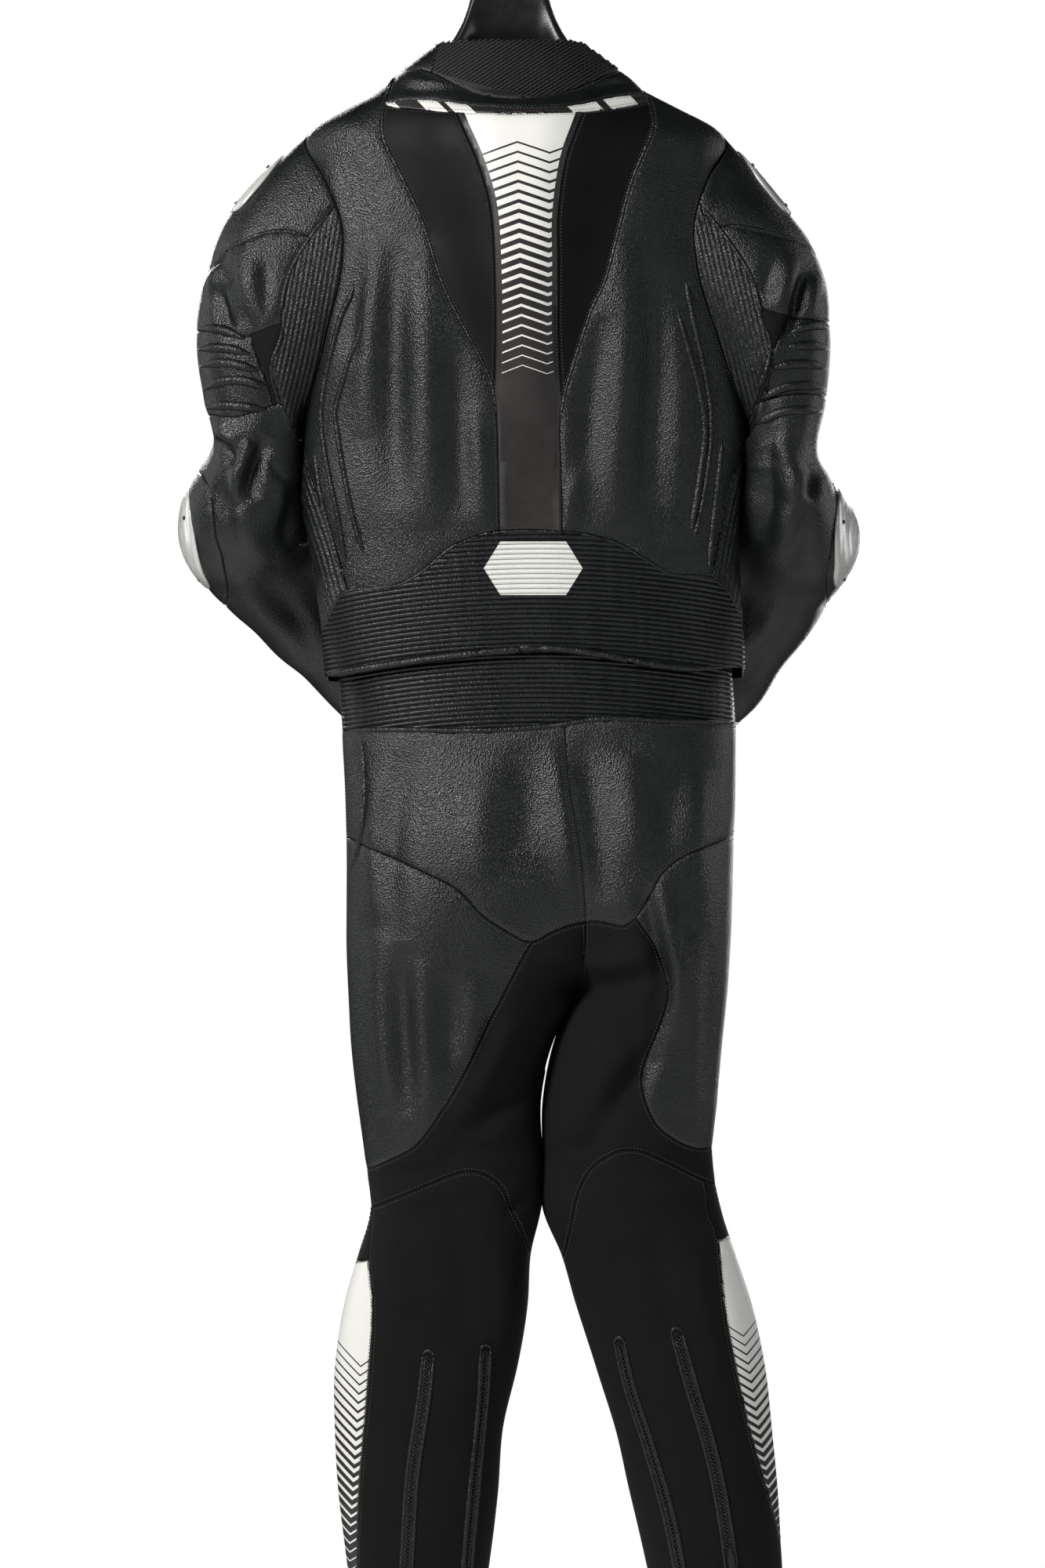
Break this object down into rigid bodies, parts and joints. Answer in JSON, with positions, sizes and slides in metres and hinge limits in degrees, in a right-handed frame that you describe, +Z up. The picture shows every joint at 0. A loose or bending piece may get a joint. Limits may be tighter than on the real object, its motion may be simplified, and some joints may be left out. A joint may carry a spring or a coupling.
{
  "type": "motorcycle race suit on a hanger",
  "caption": "Two-piece leather motorcycle race suit with a back hump, bellows panels and hard shoulder and elbow plates, hanging on a broad plastic hanger.",
  "frame": {"origin": "inside top of the hanger's hook, where a rail carries it", "axes": "+Z up, the suit's back faces -Y and its front +Y, +X is to the right when the back is looked at"},
  "size_m": [0.6988, 0.3401, 1.7624],
  "materials": {
    "black_leather": "semi-gloss grained black cowhide, with white printed areas on the hump, hump band, lumbar and shin panels",
    "printed_leather": "white and black printed leather",
    "black_stretch": "matt ribbed stretch weave",
    "black_knit": "chunky knit with a few glinting threads",
    "silver_plastic": "silver-white moulded plate",
    "black_zip": "moulded zip on a woven tape",
    "zip_pull": "black painted pull tab",
    "hanger_plastic": "semi-gloss black plastic",
    "steel_wire": "bright drawn wire"
  },
  "bodies": {
    "suit": {"back_left": "black_leather", "back_right": "black_leather", "back_strip": "black_stretch", "bellows_left": "black_stretch", "bellows_right": "black_stretch", "calf_left": "black_leather", "calf_right": "black_leather", "calf_zip_left_inner": "black_zip", "calf_zip_left_outer": "black_zip", "calf_zip_right_inner": "black_zip", "calf_zip_right_outer": "black_zip", "collar_knit": "black_knit", "collar_left": "black_leather", "collar_right": "black_leather", "elbow_left": "black_leather", "elbow_plate_left": "silver_plastic", "elbow_plate_right": "silver_plastic", "elbow_right": "black_leather", "fan_left": "black_stretch", "fan_right": "black_stretch", "forearm_left": "black_leather", "forearm_right": "black_leather", "front_left": "black_leather", "front_right": "black_leather", "front_zip": "black_zip", "hanger": "hanger_plastic", "hook": "steel_wire", "hump_band": "printed_leather", "hump_left": "black_leather", "hump_right": "black_leather", "inner_leg_left": "black_stretch", "inner_leg_right": "black_stretch", "insert_left": "black_stretch", "insert_right": "black_stretch", "knee_rib_left": "black_stretch", "knee_rib_right": "black_stretch", "leg_front_left": "black_leather", "leg_front_right": "black_leather", "lumbar_panel": "black_leather", "seat_left": "black_leather", "seat_right": "black_leather", "shin_panel_left": "black_leather", "shin_panel_right": "black_leather", "shoulder_left": "black_leather", "shoulder_plate_left": "silver_plastic", "shoulder_plate_right": "silver_plastic", "shoulder_right": "black_leather", "side_left": "black_stretch", "side_right": "black_stretch", "thigh_left": "black_leather", "thigh_right": "black_leather", "upper_arm_left": "black_leather", "upper_arm_right": "black_leather", "waist_panel": "black_leather", "yoke": "black_leather"},
    "calf_tab_left_inner_body": {"calf_tab_left_inner": "zip_pull"},
    "calf_tab_left_outer_body": {"calf_tab_left_outer": "zip_pull"},
    "calf_tab_right_inner_body": {"calf_tab_right_inner": "zip_pull"},
    "calf_tab_right_outer_body": {"calf_tab_right_outer": "zip_pull"},
    "front_tab_body": {"front_tab": "zip_pull"}
  },
  "joints": [
    {"name": "calf_tab_left_inner_lift", "type": "hinge", "parent": "suit", "child": "calf_tab_left_inner_body", "pos_m": [-0.04124, -0.05438, -1.73166], "axis": [-0.7929, -0.6091, 0.0172], "range_deg": [0, 110]},
    {"name": "calf_tab_left_outer_lift", "type": "hinge", "parent": "suit", "child": "calf_tab_left_outer_body", "pos_m": [-0.10568, -0.07177, -1.7319], "axis": [-0.9966, 0.0658, 0.0502], "range_deg": [0, 110]},
    {"name": "calf_tab_right_inner_lift", "type": "hinge", "parent": "suit", "child": "calf_tab_right_inner_body", "pos_m": [0.17217, -0.06323, -1.73127], "axis": [-0.8763, 0.4619, -0.1368], "range_deg": [0, 110]},
    {"name": "calf_tab_right_outer_lift", "type": "hinge", "parent": "suit", "child": "calf_tab_right_outer_body", "pos_m": [0.22279, -0.07435, -1.69369], "axis": [-0.9858, -0.0901, -0.1419], "range_deg": [0, 110]},
    {"name": "front_tab_lift", "type": "hinge", "parent": "suit", "child": "front_tab_body", "pos_m": [0.00134, 0.0852, -0.22116], "axis": [0.9997, -0.0079, 0.0249], "range_deg": [0, 110]}
  ]
}
